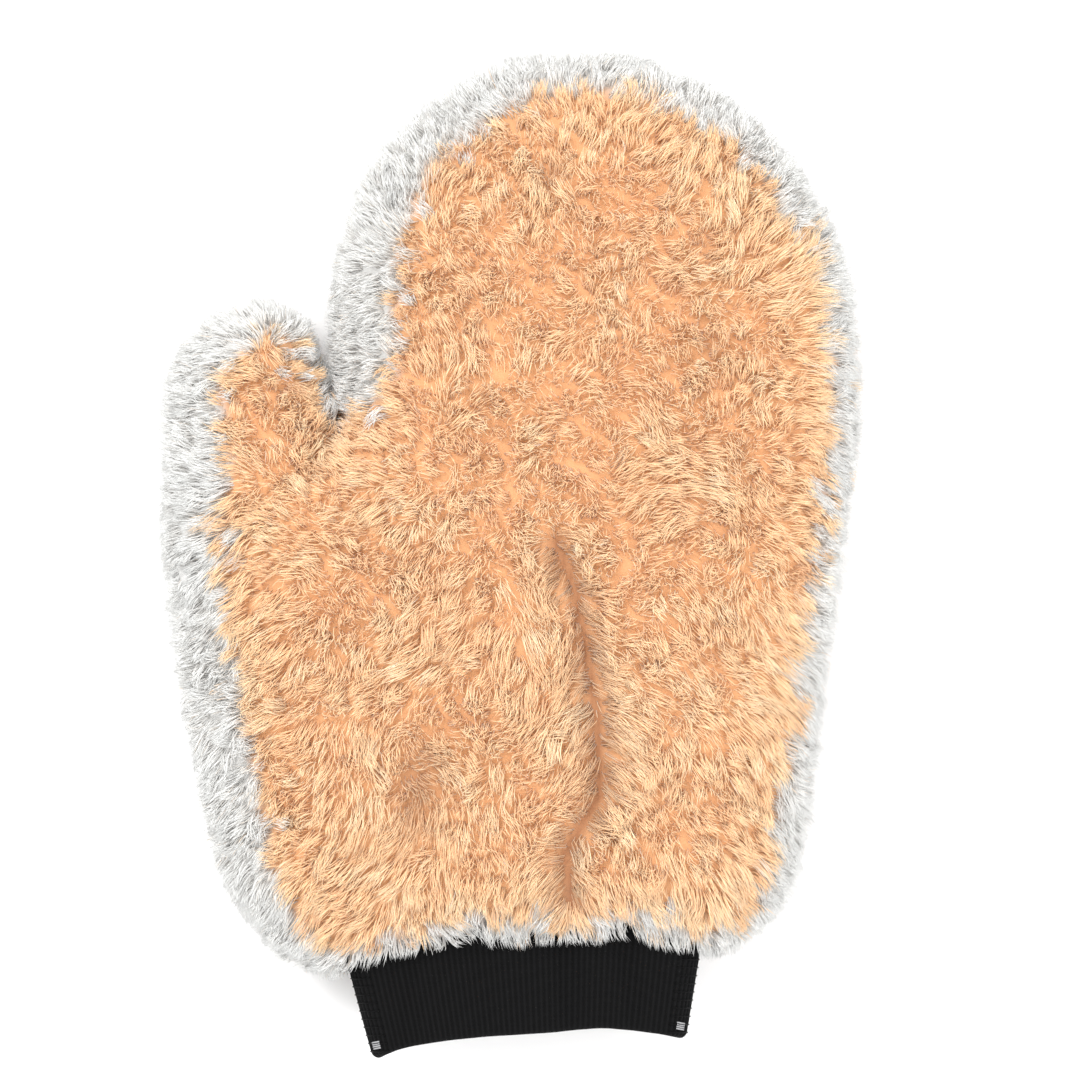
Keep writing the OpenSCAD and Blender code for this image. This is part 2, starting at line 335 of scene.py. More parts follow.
def chains(edges):
    """The vertices of edges as ordered open lines."""
    links = {}
    for edge in edges:
        a, b = edge.verts
        links.setdefault(a, []).append(b)
        links.setdefault(b, []).append(a)
    lines, seen = [], set()
    for start in sorted(links, key=lambda v: len(links[v])):
        if start in seen:
            continue
        line, here = [start], start
        seen.add(start)
        while here is not None:
            here = next((v for v in links[here] if v not in seen), None)
            if here is not None:
                seen.add(here)
                line.append(here)
        lines.append(np.array([tuple(v.co) for v in line]))
    return lines


def layer(name, depth, thick, offset):
    """Front and back panels of hand and thumb at one depth of the pile, each a closed sheet,
    and the seam lines between front and back."""
    surface = skin(hand, name + "_surface", depth)
    thumb_surface = skin(thumb, name + "_thumb_surface", depth)
    unite(surface, thumb_surface)
    whole = bmesh.new()
    whole.from_mesh(surface.data)
    cuts = (((0, 0, MID_Z), (0, 0, 1)), (THUMB_FOLD, THUMB_PAST), ((SLIT_X, 0, 0), (1, 0, 0)))
    for point, normal in cuts:
        bmesh.ops.bisect_plane(whole, geom=whole.verts[:] + whole.edges[:] + whole.faces[:],
                               dist=1e-7, plane_co=point, plane_no=normal)
    whole.faces.ensure_lookup_table()
    centres = np.array([tuple(f.calc_center_median()) for f in whole.faces])
    is_thumb = in_thumb_zone(centres)
    is_front = centres[:, 2] > MID_Z
    is_open = in_cuff(centres, CUFF_ROOM)
    panels, seams = {}, {}
    for body in ("hand", "thumb"):
        for side in ("front", "back"):
            drop = (is_thumb != (body == "thumb")) | (is_front != (side == "front")) | is_open
            part = whole.copy()
            part.faces.ensure_lookup_table()
            bmesh.ops.delete(part, geom=[part.faces[i] for i in np.where(drop)[0]], context="FACES")
            if side == "front":
                seams[body] = chains([e for e in part.edges if len(e.link_faces) == 1
                                      and all(abs(v.co.z - MID_Z) < 1e-6 for v in e.verts)])
            mesh = bpy.data.meshes.new(f"{body}_{side}_{name}_panel")
            part.to_mesh(mesh)
            part.free()
            panel = new_object(mesh.name, mesh)
            solid = panel.modifiers.new("thickness", "SOLIDIFY")
            solid.thickness = thick
            solid.offset = offset
            panels[body, side] = smooth_shade(settle(panel))
    whole.free()
    discard(surface, thumb_surface)
    return panels, seams


def bend(obj, body):
    """Bakes the piece's placement into its mesh, the same for hand and thumb pieces."""
    if body == "hand":
        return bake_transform(obj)
    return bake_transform(obj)


def stands_for(body, side, what):
    """The CAD nodes that a panel of hand or thumb stands for."""
    if body == "thumb":
        return [f"thumb_{side}_{what}"]
    return [f"palm_{side}_{what}", f"finger_{side}_{what}"]


# ----------------------------------------------------------- the rim band of painted light
# Widths of the band of painted light round the outline, widest on the left where the light falls
RIM_LEFT = 19 * MM
RIM_RIGHT = 7.5 * MM
RIM_TOP = 11 * MM
RIM_LOW = 6.5 * MM
RIM_SLIT = 1.0 * MM
RIM_FADE = 5.0 * MM


def rim_line(obj):
    """Points of the outline seen from above, with the way that each faces."""
    points = mesh_points(obj.data)
    normals = mesh_normals(obj.data)
    on = np.abs(points[:, 2] - MID_Z) < VOXEL * 0.8
    return points[on], normals[on]


def rim_tree(points, widths):
    tree = kdtree.KDTree(len(points))
    for i, p in enumerate(points):
        tree.insert((p[0], p[1], 0), i)
    tree.balance()
    return tree, widths


def rim_widths(normals, right_width):
    """The width of the band of painted light by the way that the outline faces, widest on the left where
    the light falls.
    """
    left, right = np.clip(-normals[:, 0], 0, 1), np.clip(normals[:, 0], 0, 1)
    low, top = np.clip(-normals[:, 1], 0, 1), np.clip(normals[:, 1], 0, 1)
    total = left + right + top + low + 1e-9
    return (left * RIM_LEFT + right * right_width + top * RIM_TOP + low * RIM_LOW) / total


def inside_of(points, obj, margin):
    """Whether points lie inside a closed mesh, deeper than margin."""
    out = np.zeros(len(points), bool)
    for i, p in enumerate(points):
        hit, place, normal, _ = obj.closest_point_on_mesh(Vector(p))
        out[i] = hit and (Vector(p) - place).dot(normal) < -margin
    return out


def rim_setup():
    """For each lobe, the open outline that its band of painted light follows."""
    hand_p, hand_n = rim_line(hand)
    thumb_p, thumb_n = rim_line(thumb)
    hand_open = ~inside_of(hand_p, thumb, -2 * MM)
    thumb_open = ~inside_of(thumb_p, hand, -2 * MM)
    hand_past = (hand_p - THUMB_FOLD) @ THUMB_PAST
    thumb_past = (thumb_p - THUMB_FOLD) @ THUMB_PAST
    palm_side = hand_open & (hand_past < 0)
    hand_side = hand_open & ((hand_p[:, 0] > SLIT_X) | (hand_past < 0))
    thumb_left = thumb_open & (thumb_past > 0) & (thumb_n[:, 0] < -0.2)
    thumb_side = thumb_open & (thumb_past > 0)
    hand_w = rim_widths(hand_n, RIM_RIGHT)
    thumb_w = rim_widths(thumb_n, RIM_SLIT)
    return {
        "hand": rim_tree(np.vstack([hand_p[hand_side], thumb_p[thumb_left]]),
                         np.concatenate([hand_w[hand_side], thumb_w[thumb_left]])),
        "thumb": rim_tree(np.vstack([thumb_p[thumb_side], hand_p[palm_side]]),
                          np.concatenate([thumb_w[thumb_side], hand_w[palm_side]])),
    }


RIM = rim_setup()


def painted_rim_light(points, body, wobble):
    """Painted light: from 0 in the coloured middle to 1 in the lit band along the rim; wobble moves the
    border in metres.
    """
    tree, widths = RIM[body]
    out = np.empty(len(points))
    for i, p in enumerate(points):
        _, k, distance = tree.find((p[0], p[1], 0))
        out[i] = widths[k] - distance
    return smoothstep(0.5 + (out + wobble) / RIM_FADE)


def field(points, size, seed):
    """Smooth noise from -1 to 1 with features of about that size."""
    shift = Vector((seed * 7.1, seed * 3.7, seed * 1.9))
    return np.array([noise.noise(Vector(p / size) + shift) for p in points])


# ------------------------------------------------------------------- materials
def srgb(r, g, b):
    """A linear colour from the values of a picture, 0 to 255."""
    return tuple(((c / 255 + 0.055) / 1.055) ** 2.4 for c in (r, g, b)) + (1.0,)


class Nodes:
    """A small helper that builds a material's node tree."""

    def __init__(self, name):
        self.material = bpy.data.materials.new(name)
        self.material.use_nodes = True
        self.tree = self.material.node_tree
        self.tree.nodes.clear()
        self.shader = self.add("ShaderNodeBsdfPrincipled")
        output = self.add("ShaderNodeOutputMaterial")
        self.link(self.shader.outputs[0], output.inputs["Surface"])

    def add(self, kind, **settings):
        node = self.tree.nodes.new(kind)
        for key, value in settings.items():
            setattr(node, key, value)
        return node

    def link(self, a, b):
        self.tree.links.new(a, b)

    def fixed(self, **values):
        for key, value in values.items():
            self.shader.inputs[key.replace("_", " ")].default_value = value

    def value(self, source, target):
        if isinstance(source, (int, float, tuple)):
            target.default_value = source
        else:
            self.link(source, target)

    def math(self, operation, a, b=0.0, clamp=False):
        node = self.add("ShaderNodeMath", operation=operation, use_clamp=clamp)
        self.value(a, node.inputs[0])
        self.value(b, node.inputs[1])
        return node.outputs[0]

    def mix(self, factor, a, b, blend="MIX"):
        node = self.add("ShaderNodeMix", data_type="RGBA", blend_type=blend)
        self.value(factor, node.inputs[0])
        self.value(a, node.inputs[6])
        self.value(b, node.inputs[7])
        return node.outputs[2]

    def attribute(self, name):
        return self.add("ShaderNodeAttribute", attribute_name=name).outputs["Fac"]

    def place(self):
        return self.add("ShaderNodeTexCoord").outputs["Object"]

    def noise(self, scale, detail=3.0, rough=0.5):
        node = self.add("ShaderNodeTexNoise")
        self.link(self.place(), node.inputs["Vector"])
        node.inputs["Scale"].default_value = scale
        node.inputs["Detail"].default_value = detail
        node.inputs["Roughness"].default_value = rough
        return node.outputs["Fac"]

    def ramp(self, source, low, high):
        node = self.add("ShaderNodeMapRange")
        self.link(source, node.inputs["Value"])
        node.inputs["From Min"].default_value = low
        node.inputs["From Max"].default_value = high
        return node.outputs["Result"]

    def bump(self, height, strength, distance):
        node = self.add("ShaderNodeBump")
        node.inputs["Strength"].default_value = strength
        node.inputs["Distance"].default_value = distance
        self.link(height, node.inputs["Height"])
        self.link(node.outputs[0], self.shader.inputs["Normal"])


PEACH = srgb(255, 217, 172)
PEACH_LIGHT = srgb(255, 232, 196)
PEACH_DARK = srgb(249, 204, 158)
# painted light: off-white for the band along the rim, widest on the left where the light falls
RIM_LIGHT_COLOUR = srgb(236, 236, 234)
RIM_LIGHT_COLOUR_DARK = srgb(216, 216, 214)
SHADE = (0.36, 0.24, 0.18, 1.0)     # painted shade of the pile deep in a parting
ROOT_SHADE = (0.82, 0.75, 0.70, 1.0)


def fibre_material():
    """Plush fibre: tinted by lock, with painted shade at the root, and painted light that turns it
    off-white along the rim.
    """
    n = Nodes("plush_fibre")
    tint = n.attribute("tint")
    along = n.attribute("along")
    rim = n.attribute("painted_rim_light")
    light = n.ramp(tint, 0.55, 1.0)
    dark = n.ramp(tint, 0.4, 0.0)
    peach = n.mix(light, PEACH, PEACH_LIGHT)
    peach = n.mix(dark, peach, PEACH_DARK)
    white = n.mix(dark, RIM_LIGHT_COLOUR, RIM_LIGHT_COLOUR_DARK)
    # painted light: towards the rim the fibre is mixed to off-white
    colour = n.mix(rim, peach, white)
    root = n.ramp(along, 0.75, 0.0)
    colour = n.mix(n.math("MULTIPLY", root, 0.5), colour, ROOT_SHADE, "MULTIPLY")
    colour = n.mix(n.attribute("shade"), colour, SHADE, "MULTIPLY")
    n.link(colour, n.shader.inputs["Base Color"])
    n.fixed(Roughness=0.62, Sheen_Weight=0.35, Sheen_Roughness=0.45, IOR=1.45)
    return n.material


def bed_material():
    """The matted lower part of the pile, seen between the locks, coloured darker than the fibres as
    painted shade between them.
    """
    n = Nodes("plush_bed")
    mottle = n.noise(420.0, 4.0, 0.6)
    rim = n.attribute("painted_rim_light")
    # painted shade: these tones are darker than the fibres' own, so the gaps between the locks look
    # shaded
    peach = n.mix(mottle, srgb(200, 148, 104), srgb(224, 172, 126))
    white = n.mix(mottle, srgb(184, 183, 180), srgb(212, 211, 209))
    colour = n.mix(n.attribute("shade"), n.mix(rim, peach, white), SHADE, "MULTIPLY")
    n.link(colour, n.shader.inputs["Base Color"])
    n.bump(n.noise(1500.0, 3.0, 0.6), 0.6, 0.0006)
    n.fixed(Roughness=0.85, Sheen_Weight=0.3, Sheen_Roughness=0.5)
    return n.material


def knit_material(name, low, high, scale, roughness, depth):
    """A fine jersey: rows of loops that wave across columns."""
    n = Nodes(name)
    split = n.add("ShaderNodeSeparateXYZ")
    n.link(n.place(), split.inputs[0])
    across = n.math("MULTIPLY", split.outputs["X"], scale)
    along = n.math("MULTIPLY", split.outputs["Y"], scale * 0.8)
    column = n.math("SINE", across)
    wave = n.math("ADD", along, n.math("MULTIPLY", n.math("ABSOLUTE", column), 1.6))
    loops = n.math("MULTIPLY", n.math("SINE", wave), n.math("ABSOLUTE", column))
    height = n.math("ADD", n.math("MULTIPLY", loops, 0.5), 0.5)
    fuzz = n.noise(scale * 0.35, 4.0, 0.6)
    tone = n.math("ADD", n.math("MULTIPLY", height, 0.65), n.math("MULTIPLY", fuzz, 0.35))
    n.link(n.mix(tone, low, high), n.shader.inputs["Base Color"])
    n.bump(height, 0.7, depth)
    n.fixed(Roughness=roughness, Sheen_Weight=0.25, Sheen_Roughness=0.5)
    return n.material


def cuff_material():
    """Black rib yarn, lighter on the ribs and darker in the grooves between them: painted highlight on
    the ribs and painted shade in the grooves.
    """
    n = Nodes("black_rib_yarn")
    rib = n.attribute("rib")
    stitch = n.attribute("stitch")
    fuzz = n.noise(900.0, 4.0, 0.65)
    # painted shade and highlight: the tone follows the ribs, darker in the grooves and lighter on the rib
    # tops
    tone = n.math("ADD", n.math("MULTIPLY", rib, 0.6), n.math("MULTIPLY", fuzz, 0.4))
    n.link(n.mix(tone, srgb(3, 3, 3), srgb(17, 17, 18)), n.shader.inputs["Base Color"])
    height = n.math("ADD", n.math("MULTIPLY", stitch, 0.7), n.math("MULTIPLY", fuzz, 0.3))
    n.bump(height, 0.8, 0.0003)
    n.fixed(Roughness=0.9, Specular_IOR_Level=0.12)
    return n.material


def thread_material(name, low, high, gloss=0.5):
    """Twisted thread: two tones along the twist."""
    n = Nodes(name)
    grain = n.noise(2600.0, 2.0, 0.5)
    n.link(n.mix(grain, low, high), n.shader.inputs["Base Color"])
    n.bump(grain, 0.4, 0.0001)
    n.fixed(Roughness=0.7, Specular_IOR_Level=gloss)
    return n.material


FIBRE_MATERIAL = fibre_material()
BED_MATERIAL = bed_material()
GROUND_MATERIAL = knit_material("ground_knit", srgb(196, 188, 176), srgb(232, 226, 214),
                                3200.0, 0.85, 0.0002)
LINING_MATERIAL = knit_material("lining_tricot", srgb(196, 197, 200), srgb(226, 227, 229),
                                4200.0, 0.7, 0.00012)
CUFF_MATERIAL = cuff_material()
ELASTIC_MATERIAL = knit_material("elastic_weave", srgb(40, 40, 44), srgb(84, 84, 90), 2600.0, 0.6, 0.0002)
WHITE_THREAD = thread_material("white_thread", srgb(214, 210, 200), srgb(246, 243, 236))
GREY_THREAD = thread_material("grey_thread", srgb(120, 120, 122), srgb(176, 176, 178))
BLACK_THREAD = thread_material("black_thread", srgb(3, 3, 3), srgb(12, 12, 13), 0.1)


def finish_with(obj, material):
    obj.data.materials.clear()
    obj.data.materials.append(material)
    return obj


def point_attribute(mesh, name, values):
    attribute = mesh.attributes.new(name, "FLOAT", "POINT")
    attribute.data.foreach_set("value", np.asarray(values, np.float32))


# ------------------------------------------------- where the pile parts and sinks
PARTING = np.array([
    (11.9, 3.7), (17.4, -9.9), (20, -26), (22.8, -40), (24.2, -64), (14.7, -80.5), (16, -94),
]) * MM
HOLLOWS = (
    # middle x, middle y, half width, half height, depth
    (-25, -62, 7, 15, 0.8), (10.6, 100, 3, 5, 0.6), (51, 82, 3, 4, 0.5), (54, 55, 3, 5, 0.5),
    (62, 28, 3, 4, 0.5), (-8, 42, 3, 4, 0.5), (-60, -40, 3, 4, 0.4),
)


def nearest_on_line(points, line):
    """Distance to a polyline in the XY plane, and the unit vector away from it."""
    best = np.full(len(points), 1.0)
    away = np.zeros((len(points), 2))
    xy = points[:, :2]
    for a, b in zip(line[:-1], line[1:]):
        d = b - a
        t = np.clip(((xy - a) @ d) / (d @ d), 0, 1)
        gap = xy - (a + t[:, None] * d)
        dist = np.linalg.norm(gap, axis=1)
        closer = dist < best
        best = np.where(closer, dist, best)
        away[closer] = gap[closer] / np.maximum(dist[closer], 1e-6)[:, None]
    return best, away


def hollow_gap(points, x, y, rx, ry):
    """The way from a hollow's middle to each point, in its half widths."""
    return (points[:, :2] - np.array([x, y]) * MM) / (np.array([rx, ry]) * MM)


def shadowed(points):
    """How dark the pile is in its parting and hollows, from 0 to 1, on the front only."""
    front = points[:, 2] > MID_Z
    dist, _ = nearest_on_line(points, PARTING)
    shade = 0.85 * np.exp(-(dist / (2.6 * MM)) ** 2)
    for x, y, rx, ry, depth in HOLLOWS:
        gap = hollow_gap(points, x, y, rx, ry)
        shade += 0.7 * depth * np.exp(-(gap ** 2).sum(1) * 1.6)
    return np.clip(shade, 0, 1) * front


# ------------------------------------------------------------ bed and the sheets
def make_bed():
    """The matted under-pile: closed padded shells over the ground."""
    panels, _ = layer("bed", BED, BED_T, -1.0)
    for (body, side), panel in panels.items():
        points = mesh_points(panel.data)
        # painted light along the rim, and painted shade in the parting and hollows
        point_attribute(panel.data, "painted_rim_light", painted_rim_light(points, body, field(points, 6 * MM, 3) * 3 * MM))
        point_attribute(panel.data, "shade", shadowed(points))
        finish_with(panel, BED_MATERIAL)
        bend(panel, body)
        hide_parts(*stands_for(body, side, "pile"))


make_bed()


def surface_area(obj):
    return sum(p.area for p in obj.data.polygons)


def make_cloth(what, out, thick, material):
    """The ground's or the lining's four panels, each a thin closed sheet. Returns their seam lines."""
    middle = (out[0] + thick / 2, out[1] + thick / 2)
    panels, seams = layer(what, middle, thick, 0.0)
    for (body, side), panel in panels.items():
        finish_with(panel, material)
        low, high = mesh_points(panel.data).min(0), mesh_points(panel.data).max(0)
        bend(panel, body)
        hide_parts(*stands_for(body, side, what))
    return seams


GROUND_SEAMS = make_cloth("ground", GROUND_OUT, GROUND_T, GROUND_MATERIAL)
LINING_SEAMS = make_cloth("lining", LINING_OUT, LINING_T, LINING_MATERIAL)

# ------------------------------------------------------------------- the fibres
FIBRES = 175000
FIBRES_A_PIECE = 12400
RINGS = np.array([0.0, 0.4, 0.75, 1.0])
FIBRE_R = 0.15 * MM
CLUMP_SPACING = 3.3 * MM
CLUMP_TRIES = 30000
RESTS_AT = 0.4 * MM             # the lower pile lies flattened on the surface
ROOT_SINK = 1.2 * MM            # how far a fibre starts inside the bed
PILE_LIFT = 1.0 * MM
LEAN_SIZE = 26 * MM             # how wide the areas are in which the pile leans one way
LEAN_MIDDLE = np.array([8 * MM, 10 * MM])


def sample(obj, count):
    """Random points of a surface with its smooth normals."""
    mesh = obj.data
    mesh.calc_loop_triangles()
    tris = np.empty(len(mesh.loop_triangles) * 3, np.int32)
    mesh.loop_triangles.foreach_get("vertices", tris)
    tris = tris.reshape(-1, 3)
    points, normals = mesh_points(mesh), mesh_normals(mesh)
    a, b, c = (points[tris[:, k]] for k in range(3))
    areas = np.linalg.norm(np.cross(b - a, c - a), axis=1) / 2
    pick = rng.choice(len(tris), size=count, p=areas / areas.sum())
    u, v = rng.random(count), rng.random(count)
    flip = u + v > 1
    u, v = np.where(flip, 1 - u, u), np.where(flip, 1 - v, v)
    w = 1 - u - v
    t = tris[pick]
    place = points[t[:, 0]] * w[:, None] + points[t[:, 1]] * u[:, None] + points[t[:, 2]] * v[:, None]
    facing = normals[t[:, 0]] * w[:, None] + normals[t[:, 1]] * u[:, None] + normals[t[:, 2]] * v[:, None]
    return place, facing / np.linalg.norm(facing, axis=1)[:, None]


def unit(v):
    return v / np.maximum(np.linalg.norm(v, axis=1), 1e-9)[:, None]


def flow(points, normals):
    """The way the pile leans and how much, and how far it is pressed down."""
    lean = np.zeros((len(points), 3))
    outward = points[:, :2] - LEAN_MIDDLE
    lean[:, :2] = outward / (np.linalg.norm(outward, axis=1)[:, None] + 30 * MM) * 0.55
    lean[:, 0] += field(points, LEAN_SIZE, 1) * 0.8
    lean[:, 1] += field(points, LEAN_SIZE, 2) * 0.8 - 0.15
    front = points[:, 2] > MID_Z
    dist, away = nearest_on_line(points, PARTING)
    pull = np.exp(-(dist / (7 * MM)) ** 2) * front
    lean[:, :2] += away * pull[:, None] * 0.8
    press = 0.22 * np.exp(-(dist / (2.2 * MM)) ** 2) * front
    for x, y, rx, ry, depth in HOLLOWS:
        gap = hollow_gap(points, x, y, rx, ry)
        d2 = (gap ** 2).sum(1)
        lean[:, :2] += gap * (np.exp(-d2) * front)[:, None] * 0.8 * depth
        press += 0.3 * depth * np.exp(-d2 * 1.4) * front
    lean -= normals * (lean * normals).sum(1)[:, None]
    return lean, np.clip(press, 0, 0.6)


def clump_centres(points, spacing):
    """A spread of points from the given ones, no two closer than spacing."""
    cell = {}
    chosen = []
    for i, p in enumerate(points):
        key = tuple(np.floor(p / spacing).astype(int))
        close = False
        for dx in (-1, 0, 1):
            for dy in (-1, 0, 1):
                for dz in (-1, 0, 1):
                    for q in cell.get((key[0] + dx, key[1] + dy, key[2] + dz), ()):
                        if np.sum((points[q] - p) ** 2) < spacing ** 2:
                            close = True
        if not close:
            cell.setdefault(key, []).append(i)
            chosen.append(i)
    return np.array(chosen)


def fibre_paths(roots, normals, body):
    """The points along each fibre, its radius, and its tint, painted rim light and painted shade."""
    count = len(roots)
    candidates = rng.permutation(count)[:CLUMP_TRIES]
    chosen = candidates[clump_centres(roots[candidates], CLUMP_SPACING)]
    tree = kdtree.KDTree(len(chosen))
    for i, k in enumerate(chosen):
        tree.insert(roots[k], i)
    tree.balance()
    clump = np.array([tree.find(p)[1] for p in roots])
    base = roots[chosen][clump]
    base_normal = normals[chosen][clump]
    clump_count = len(chosen)
    clump_lean = rng.normal(0, 0.17, (clump_count, 3))[clump]
    clump_high = rng.normal(0, 0.04, clump_count)[clump]
    clump_tint = rng.random(clump_count)[clump]
    clump_wobble = rng.normal(0, 2.6 * MM, clump_count)[clump]
    clump_curl = rng.normal(0, 0.6 * MM, (clump_count, 3))[clump]
    pull = np.clip(rng.normal(0.36, 0.12, clump_count), 0.1, 0.7)[clump]

    lean, press = flow(roots, normals)
    lean = lean + clump_lean + rng.normal(0, 0.16, (count, 3))
    lean -= normals * (lean * normals).sum(1)[:, None]
    steep = np.abs(normals[:, 2])
    depth = BED[0] + (BED[1] - BED[0]) * steep ** 2
    height = (depth + PILE_LIFT) * (1 + clump_high + rng.normal(0, 0.07, count)) * (1 - press)
    paths = np.empty((count, len(RINGS), 3))
    total = height + ROOT_SINK
    droop = total * 0.16 * np.minimum(np.linalg.norm(lean, axis=1), 1.5)
    for k, t in enumerate(RINGS):
        rise = (total * t - depth - ROOT_SINK)[:, None]
        sway = lean * (total * 0.9 * t ** 1.7)[:, None]
        here = roots + normals * rise + sway - normals * (droop * t ** 2)[:, None]
        centre_line = base + base_normal * rise + sway
        gather = (pull * t ** 1.3)[:, None]
        here = here * (1 - gather) + centre_line * gather
        here += clump_curl * math.sin(math.pi * t) + clump_curl[:, [1, 0, 2]] * (t ** 2 * 0.7)
        here[:, 2] = np.maximum(here[:, 2], RESTS_AT)
        paths[:, k] = here
    tint = np.clip(clump_tint * 0.6 + rng.random(count) * 0.4 + field(base, 14 * MM, 5) * 0.25, 0, 1)
    # painted light: fibres turn off-white in a band along the rim, widest on the left where the light
    # falls
    lit_rim = painted_rim_light(base, body, clump_wobble + field(base, 9 * MM, 6) * 3 * MM)
    lit_rim = smoothstep((lit_rim + rng.normal(0, 0.16, count) - 0.25) / 0.5)
    radius = FIBRE_R * rng.uniform(0.75, 1.25, count)
    shade = shadowed(roots) * rng.uniform(0.5, 1.0, count) * (1 - 0.7 * lit_rim)
    return paths, radius, {"tint": tint, "painted_rim_light": lit_rim, "shade": shade}


def fibre_mesh(name, paths, radius, looks):
    """Three-sided tapered fibres as one mesh, each with its own strip of the UV map."""
    count, rings = paths.shape[0], paths.shape[1]
    forward = unit(paths[:, -1] - paths[:, 0])
    side = unit(np.cross(forward, rng.normal(0, 1, (count, 3))))
    up = np.cross(forward, side)
    verts_each = 3 * (rings - 1) + 1
    verts = np.empty((count, verts_each, 3))
    thick = (1.0, 0.92, 0.62)
    for k in range(rings - 1):
        for j in range(3):
            angle = 2 * math.pi * j / 3
            reach = radius * thick[k]
            offset = side * (math.cos(angle) * reach)[:, None] + up * (math.sin(angle) * reach)[:, None]
            verts[:, 3 * k + j] = paths[:, k] + offset
    verts[:, -1] = paths[:, -1]

    loops, starts, uv = [0, 2, 1], [0], [(0.05, 0.02), (0.95, 0.02), (0.5, 0.0)]
    for k in range(rings - 2):
        for j in range(3):
            m = (j + 1) % 3
            starts.append(len(loops))
            loops += [3 * k + j, 3 * k + m, 3 * (k + 1) + m, 3 * (k + 1) + j]
            low, high = 0.05 + 0.9 * RINGS[k], 0.05 + 0.9 * RINGS[k + 1]
            uv += [(j / 3, low), ((j + 1) / 3, low), ((j + 1) / 3, high), (j / 3, high)]
    last = 3 * (rings - 2)
    for j in range(3):
        m = (j + 1) % 3
        starts.append(len(loops))
        loops += [last + j, last + m, 3 * (rings - 1)]
        low = 0.05 + 0.9 * RINGS[-2]
        uv += [(j / 3, low), ((j + 1) / 3, low), ((j + 0.5) / 3, 0.98)]

    loops, starts, uv = np.array(loops), np.array(starts), np.array(uv)
    each = len(loops)
    all_loops = (loops[None] + (np.arange(count) * verts_each)[:, None]).ravel()
    all_starts = (starts[None] + (np.arange(count) * each)[:, None]).ravel()
    mesh = bpy.data.meshes.new(name)
    mesh.vertices.add(count * verts_each)
    mesh.vertices.foreach_set("co", verts.ravel())
    mesh.loops.add(len(all_loops))
    mesh.loops.foreach_set("vertex_index", all_loops.astype(np.int32))
    mesh.polygons.add(len(all_starts))
    mesh.polygons.foreach_set("loop_start", all_starts.astype(np.int32))
    mesh.update(calc_edges=True)
    mesh.validate()

    columns = math.ceil(math.sqrt(count))
    column, row = np.arange(count) % columns, np.arange(count) // columns
    strip = 0.12 + 0.76 * uv
    u = (column[:, None] + strip[None, :, 0]) / columns
    v = (row[:, None] + strip[None, :, 1]) / columns
    layer_uv = mesh.uv_layers.new(name="OFBake")
    layer_uv.data.foreach_set("uv", np.stack([u, v], -1).astype(np.float32).ravel())

    along = np.array([RINGS[k] for k in range(rings - 1) for _ in range(3)] + [1.0])
    point_attribute(mesh, "along", np.tile(along, count))
    for key, values in looks.items():
        point_attribute(mesh, key, np.repeat(values, verts_each))
    return smooth_shade(new_object(name, mesh))


def open_roots(shape, other, count):
    """Random places on the open part of a lobe."""
    roots, normals = sample(shape, count)
    keep = ~inside_of(roots, other, 1.5 * MM) & ~in_cuff(roots, 1.2 * MM)
    return roots[keep], normals[keep]


def grow():
    """All the pile's fibres, in pieces of one body and side, from the cuff to the tips."""
    area_hand, area_thumb = surface_area(hand), surface_area(thumb)
    total = area_hand + area_thumb
    found = {}
    for shape, other, share in ((hand, thumb, area_hand / total), (thumb, hand, area_thumb / total)):
        roots, normals = open_roots(shape, other, int(FIBRES * share))
        is_thumb = in_thumb_zone(roots)
        for body, mask in (("thumb", is_thumb), ("hand", ~is_thumb)):
            found.setdefault(body, []).append((roots[mask], normals[mask]))
    for body, parts in found.items():
        roots = np.vstack([p for p, _ in parts])
        normals = np.vstack([n for _, n in parts])
        paths, radius, looks = fibre_paths(roots, normals, body)
        for side in ("front", "back"):
            mask = (roots[:, 2] >= MID_Z) if side == "front" else (roots[:, 2] < MID_Z)
            index = np.where(mask)[0]
            index = index[np.argsort(roots[index, 1])]
            pieces = max(1, math.ceil(len(index) / FIBRES_A_PIECE))
            for k, part in enumerate(np.array_split(index, pieces)):
                part_looks = {key: values[part] for key, values in looks.items()}
                piece = fibre_mesh(f"{body}_{side}_fibres_{k + 1}", paths[part], radius[part], part_looks)
                finish_with(piece, FIBRE_MATERIAL)
                bend(piece, body)


grow()

# -------------------------------------------------------------------- the cuff
RIB_PITCH = 1.75 * MM
RIB_DEPTH = 0.32 * MM
CUFF_ARCH = 4.1 * MM
CUFF_COLUMNS = 700
CUFF_ROWS = 70
STITCH_PITCH = 1.3 * MM
CUFF_LEAN = 5.4 * MM            # how much higher the right lower corner is
CUFF_BULGE = (24 * MM, 7 * MM, 0.7 * MM)    # x, half width and height of a rise in the lower edge
ELASTIC_DEPTH = (1.36 * MM, 1.84 * MM)
ELASTIC_CORDS = 6
CUFF_FOLDS = (
    # x at the top, x at the bottom, half width, depth
    (14, 17, 3.6, 2.2), (31, 34, 2.8, 1.6), (-30, -27, 3.2, 1.5), (-8, -6, 2.8, 0.8),
)


def cuff_low_edge(x):
    """Height of the cuff's lower edge: an arch between two lower corners."""
    u = (x - CUFF_LOW_MID) / (CUFF_LOW_W / 2)
    chord = CUFF_LOW_Y + 0.5 * MM + (u + 1) / 2 * CUFF_LEAN
    at, spread, height = CUFF_BULGE
    bulge = height * np.exp(-((x - at) / spread) ** 2)
    return chord + CUFF_ARCH * np.clip(1 - np.abs(u) ** 3.2, 0, 1) + bulge


def rib_wave(s):
    """From 0 in a groove to 1 on a rib, round half of the cuff."""
    ribs = round((CUFF_TOP_W + 0.57 * CUFF_TOP_T) / RIB_PITCH)
    return (0.5 + 0.5 * np.cos(2 * math.pi * s * ribs)) ** 0.8


